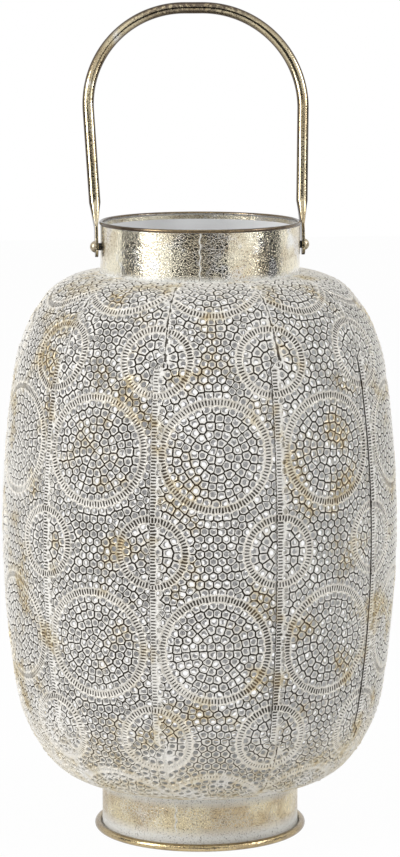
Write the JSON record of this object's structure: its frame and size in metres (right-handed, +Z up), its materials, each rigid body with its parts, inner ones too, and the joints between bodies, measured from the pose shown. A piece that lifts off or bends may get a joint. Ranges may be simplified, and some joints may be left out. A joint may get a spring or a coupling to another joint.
{
  "type": "lantern",
  "caption": "Barrel-shaped pierced metal candle lantern on a foot ring, with an open collar and a riveted swinging handle.",
  "frame": {"origin": "middle of the foot ring, on the surface that the lantern stands on", "axes": "+Z up, X along the handle's pivots, -Y towards the front of the picture"},
  "size_m": [0.2618, 0.2604, 0.548],
  "materials": {
    "pierced_sheet": "rubbed off-white wash over gold, dark patina in the recesses",
    "leafed_sheet": "worn gold leaf with dark crackle and white wash",
    "gold_wire": "satin antique gold",
    "painted_plate": "pale grey paint",
    "handle_rod": "polished antique gold with dark streaks",
    "rivet_steel": "dull silver grey",
    "black_spacer": "black"
  },
  "bodies": {
    "lantern": {"panel_01": "pierced_sheet", "panel_02": "pierced_sheet", "panel_03": "pierced_sheet", "panel_04": "pierced_sheet", "panel_05": "pierced_sheet", "panel_06": "pierced_sheet", "panel_07": "pierced_sheet", "panel_08": "pierced_sheet", "panel_09": "pierced_sheet", "panel_10": "pierced_sheet", "collar": "leafed_sheet", "collar_wire": "gold_wire", "foot": "leafed_sheet", "foot_wire": "gold_wire", "candle_plate": "painted_plate", "rivet_left": "rivet_steel", "rivet_right": "rivet_steel", "spacer_left": "black_spacer", "spacer_right": "black_spacer", "washer_left": "rivet_steel", "washer_right": "rivet_steel"},
    "handle": {"handle": "handle_rod"}
  },
  "joints": [
    {"name": "handle_swing", "type": "hinge", "parent": "lantern", "child": "handle", "pos_m": [0, 0, 0.3906], "axis": [1, 0, 0], "range_deg": [-92.5, 119.5]}
  ]
}
